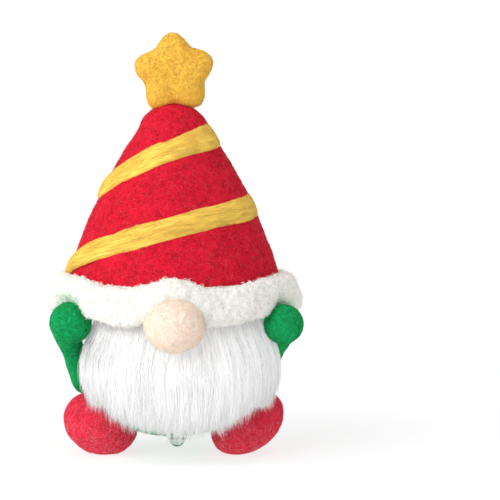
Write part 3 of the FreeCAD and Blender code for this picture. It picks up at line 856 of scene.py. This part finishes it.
def make_beard():
    """Beard: a soft inner mass and thousands of combed fibres."""
    middle, reach = beard_reach()
    angles = np.arange(-BEARD_SIDE, BEARD_SIDE + 1, 1.5)
    share = np.linspace(0, 1, MASS_LEVELS)
    bottom = tip_height(angles) + 4.0
    height = BEARD_TOP - (BEARD_TOP - bottom)[:, None] * share
    turned = np.broadcast_to(angles[:, None], height.shape)
    out = reach(turned, np.maximum(height, tip_height(turned) + 3))
    spots = np.stack([turned * 0.6, height * 0.1, np.zeros_like(out)], axis=2)
    streak = smooth_noise(spots.reshape(-1, 3), 0.8, 61).reshape(height.shape)
    out = out - 2.2 - 5.0 * np.clip((share - 0.86) / 0.14, 0, 1) ** 2 + 0.25 * streak
    radians = np.radians(turned)
    x, y = middle[0] + out * np.sin(radians), middle[1] - out * np.cos(radians)
    skin = np.stack([x, y, height], axis=2)
    inside = skin.copy()
    thinner = 0.7 + 0.27 * np.clip((share - 0.55) / 0.45, 0, 1)
    inside[:, :, :2] = middle + (skin[:, :, :2] - middle) * thinner[None, :, None]
    sheet = np.concatenate([skin, inside[:, ::-1]], axis=1)
    columns, ring = sheet.shape[:2]
    sides = []
    for first, flip in ((0, False), ((columns - 1) * ring, True)):
        for k in range(MASS_LEVELS - 1):
            a, b, c, d = first + k, first + k + 1, first + ring - 2 - k, first + ring - 1 - k
            pair = [(a, c, b), (a, d, c)]
            sides += [t[::-1] for t in pair] if flip else pair
    triangles = np.concatenate([ring_triangles(columns, ring), np.array(sides)])
    points = sheet.reshape(-1, 3)
    mesh = triangle_mesh("beard_mass", points, triangles)
    store_lie(mesh, points[:, [2, 0, 1]])
    mesh.materials.append(felt("beard_mass_wool", BEARD, BEARD_DEEP, 1.03, 1.0, 0.0, along="lie"))
    mass = linked("beard_mass", mesh)
    finish_piece(mass, "beard_pile", "beard_pile")

    random = np.random.default_rng(62)
    # The fibres' glow is painted light: emission standing in for the light the white fibres pass on to
    # each other.
    shades = fibre_shades("beard_fibre", BEARD, (0.68, 0.9, 1.0, 1.02), roughness=0.6, glow=0.205)
    paths = beard_paths(STRANDS, random, middle, reach)
    # Fibres towards the beard's sides take darker shades more often: painted shade, for the light that
    # falls off round the sides.
    off_side = np.abs(paths[:, 0, 0] - middle[0]) / BEARD_HALF
    widths = tapered(STRANDS, STRAND_PLACES, 0.115, random)
    coat("beard_fibres", paths, widths, shades, random, "beard_pile", np.clip(off_side, 0, 1) ** 2)

    def outside_beard(places, normals):
        return facing_out(places, normals, (*middle, 0), 0.3)

    def low_outside(places, normals):
        return (places[:, 2] < 30) & outside_beard(places, normals)

    fuzz("beard_wisps", mass, 3600, 12.0, 1.1, 0.085, shades, 63, "beard_pile", low_outside, 7)
    fuzz("beard_stray_fibres", mass, 1500, 15.0, 0.8, 0.065, shades, 64, "beard_pile", outside_beard, 8)


# ---------------------------------------------------------------- nose, limbs and body


def make_nose():
    """Pale pink felt nose."""
    material = felt("pink_felt", PINK, PINK_DEEP, 1.08, 0.65, 1.0, 11.0)
    nose = felted("nose_felt", "nose", material, "pink_felt", 0.6, 0.2, 71)
    shades = fibre_shades("nose_fibre", PINK, (0.8, 0.92, 1.03, 1.1))
    fuzz("nose_fuzz", nose, 2600, 2.6, 0.18, 0.065, shades, 72, "pink_felt")


PAINTED_BOUNCE_BELOW = 13      # height on the feet up to which paler fibres lie, as painted light bounced up from the pale floor
ROOT_OUTER = -31     # x where the outer side of the left arm's lower end begins
ROOT_WIDER = 2.6     # how far that side is moved out, in full below a height of 28
ROOT_LOWER = 2.0     # how far it is moved down, in full below a height of 26


def spread_root(arm):
    """Widen the outer side of the left arm's lower end. The inner side stays in the flank."""
    points = coordinates(arm.data)
    outer = np.clip((ROOT_OUTER - points[:, 0]) / 5, 0, 1)
    points[:, 0] -= ROOT_WIDER * np.clip((38 - points[:, 2]) / 10, 0, 1) * outer
    points[:, 2] -= ROOT_LOWER * np.clip((34 - points[:, 2]) / 8, 0, 1) * outer
    set_coordinates(arm.data, points)


def make_limbs():
    """Hands, arms and feet. The arms widen towards the hands."""
    tone = "green_felt"
    green = felt("green_limb_felt", GREEN, GREEN_DEEP, 1.4, 0.75, 1.0, 13.0)
    green_shades = fibre_shades("green_fibre", GREEN, (0.5, 0.8, 1.1, 1.5, 2.2))
    red = felt("red_foot_felt", FOOT_RED, FOOT_DEEP, 1.3, 1.0, 1.0, 17.0)
    red_shades = fibre_shades("foot_fibre", FOOT_RED, (0.7, 0.95, 1.2, 1.6, 2.2))
    red_shades.append(fibre("foot_fibre_pale", FOOT_PALE))
    # Paler fibres low on the feet are painted light: the light that the pale floor throws up onto them.
    painted_bounce_shades = [fibre("foot_fibre_painted_bounce", FOOT_PAINTED_BOUNCE)]

    def near_ground(places, _):
        return places[:, 2] < PAINTED_BOUNCE_BELOW

    def towards_hand(points):
        return np.clip((points[:, 2] - 41) / 8, 0, 1) * 1.3 - 0.3

    for number, side in enumerate(("left", "right")):
        hand = felted(f"hand_felt_{side}", f"hand_{side}", green, tone, 0.6, 0.2, 81 + number)
        fuzz(f"hand_fuzz_{side}", hand, 2400, 2.6, 0.2, 0.07, green_shades, 83 + number, tone)
        arm = felted(f"arm_felt_{side}", f"arm_{side}", green, tone, 0.7, 0.25, 85 + number, towards_hand)
        if side == "left":
            spread_root(arm)
        fuzz(f"arm_fuzz_{side}", arm, 1700, 2.8, 0.24, 0.07, green_shades, 87 + number, tone)
        foot = felted(f"foot_felt_{side}", f"foot_{side}", red, "red_felt", 0.7, 0.25, 91 + number)
        fuzz(f"foot_fuzz_{side}", foot, 4200, 2.8, 0.24, 0.075, red_shades, 93 + number, "red_felt")
        # Painted light: paler fibres below that height, for the floor's bounce.
        fuzz(f"foot_wear_{side}", foot, 1500, 2.4, 0.2, 0.07, painted_bounce_shades, 97 + number, "red_felt", near_ground)


def make_body():
    """Green felt skin of the body."""
    material = felt("green_body_felt", GREEN, GREEN_DEEP, 1.3, 1.1, 1.0, 19.0)
    body = felted("body_felt", "body_cover", material, "green_felt", 0.9, 0.35, 95)
    shades = fibre_shades("body_fibre", GREEN, (0.6, 0.85, 1.1, 1.5))

    def outside(places, normals):
        return facing_out(places, normals, (0, AXIS_Y, 36), 0.2, level=False)

    fuzz("body_fuzz", body, 7000, 2.8, 0.25, 0.075, shades, 96, "green_felt", outside)


# ---------------------------------------------------------------- bead, thread and hidden pieces


def make_bead():
    """Clear bead with softly rounded mouths to its bore."""
    low, high = node_box("rear_bead")
    centre = (low + high) / 2
    radius, bore, lip = (high[2] - low[2]) / 2, 0.6, 0.35
    rows, around = 28, 48
    outer = [(radius * math.cos(a), radius * math.sin(a)) for a in np.linspace(0.28, math.pi - 0.28, rows)]
    edge = outer[0][0] - lip
    inner = [(-edge, bore + 0.1), (-edge * 0.5, bore), (edge * 0.5, bore), (edge, bore + 0.1)]
    profile = np.array(outer + inner)
    turn = np.linspace(0, 2 * math.pi, around, endpoint=False)
    points = np.stack(
        [
            np.broadcast_to(profile[None, :, 0], (around, len(profile))),
            np.cos(turn)[:, None] * profile[None, :, 1],
            np.sin(turn)[:, None] * profile[None, :, 1],
        ],
        axis=2,
    ).reshape(-1, 3)
    triangles = ring_triangles(around, len(profile), closed=True)
    bead = linked("bead_glass", triangle_mesh("bead_glass", points + centre, triangles))
    bead.data.materials.append(clear_glass("bead_glass"))
    finish_piece(bead, "clear_bead", "rear_bead")


def paint_hidden():
    """Materials for the CAD nodes that stay as they are."""
    core = felt("core_wool", CORE, CORE_DEEP, 1.1, 1.6, 1.0, 23.0)
    thread, _, surface = new_material("thread_nylon")
    surface.inputs["Base Color"].default_value = (0.8, 0.8, 0.78, 1.0)
    surface.inputs["Roughness"].default_value = 0.3
    coats = {
        core: ("body_core", "hat_core", "foot_core_left", "foot_core_right"),
        thread: ("bead_thread",),
    }
    for material, names in coats.items():
        for name in names:
            for slot in nodes[name].material_slots:
                slot.material = material


def make_backings():
    """The two knitted backings that the pile is rooted in, as copies of their CAD shapes in knitted cloth.
    """
    cloth = knit("knit_backing", KNIT)
    cuts = {
        "trim_backing": ((0.0126, 0.277), "stretched", ["hat_cover"]),
        "beard_backing": ((0.0385, 0.062), "stretched", ["body_cover"]),
    }
    for name, (flat, held, rests_on) in cuts.items():
        mesh = nodes[name].data.copy()
        mesh.materials.clear()
        mesh.materials.append(cloth)
        piece = linked(name.replace("backing", "knit"), mesh)
        finish_piece(piece, "knit_backing", name)


# ---------------------------------------------------------------- stage


# Light and camera are matched to the photograph. Angles are in degrees.
WORLD_LIGHT = 0.67
SUN_LIGHT = 2.35
SUN_WIDTH = 60
SUN_FROM = (-1.2, -1.0, 0.95)
FLOOR_GREY = 0.28
FLOOR_GLOW = 0.75
LENS, SENSOR = 201.6, 36.0
CAMERA_PLACE = (30.0, AXIS_Y - 1100.0, 195.0)
CAMERA_DOWN = 6.0


def make_stage():
    """Pale floor, soft light and the camera."""
    scene = bpy.context.scene
    scene.view_settings.view_transform = "Standard"
    world = bpy.data.worlds.new("studio")
    world.use_nodes = True
    tree = world.node_tree
    soft = tree.nodes["Background"]
    soft.inputs["Color"].default_value = (1, 1, 1, 1)
    soft.inputs["Strength"].default_value = WORLD_LIGHT
    wall = node(tree, "ShaderNodeBackground", Color=(1, 1, 1, 1), Strength=1.0)
    seen = tree.nodes.new("ShaderNodeLightPath").outputs["Is Camera Ray"]
    choice = node(tree, "ShaderNodeMixShader", Fac=seen)
    tree.links.new(soft.outputs["Background"], choice.inputs[1])
    tree.links.new(wall.outputs["Background"], choice.inputs[2])
    tree.links.new(choice.outputs["Shader"], tree.nodes["World Output"].inputs["Surface"])
    scene.world = world

    bpy.ops.mesh.primitive_plane_add(size=60.0, location=(0, 20.0, 0))
    floor = bpy.context.object
    floor.name = "floor"
    paper, _, surface = new_material("floor_paper")
    surface.inputs["Base Color"].default_value = (FLOOR_GREY, FLOOR_GREY, FLOOR_GREY, 1)
    surface.inputs["Roughness"].default_value = 1.0
    surface.inputs["Specular IOR Level"].default_value = 0.0
    surface.inputs["Emission Color"].default_value = (1, 1, 1, 1)
    surface.inputs["Emission Strength"].default_value = FLOOR_GLOW
    floor.data.materials.append(paper)

    sun = bpy.data.lights.new("key", "SUN")
    sun.energy = SUN_LIGHT
    sun.angle = math.radians(SUN_WIDTH)
    key = bpy.data.objects.new("key", sun)
    key.rotation_euler = Vector(SUN_FROM).to_track_quat("Z", "Y").to_euler()
    scene.collection.objects.link(key)

    camera_data = bpy.data.cameras.new("camera")
    camera_data.lens = LENS
    camera_data.sensor_width = SENSOR
    camera = bpy.data.objects.new("camera", camera_data)
    camera.location = Vector(CAMERA_PLACE) * MM
    camera.rotation_euler = (math.radians(90 - CAMERA_DOWN), 0, 0)
    scene.collection.objects.link(camera)
    scene.camera = camera


make_stage()
make_band(make_hat())
make_star()
make_felted_joins(make_trim())
make_beard()
make_nose()
make_limbs()
make_body()
make_bead()
make_backings()
paint_hidden()
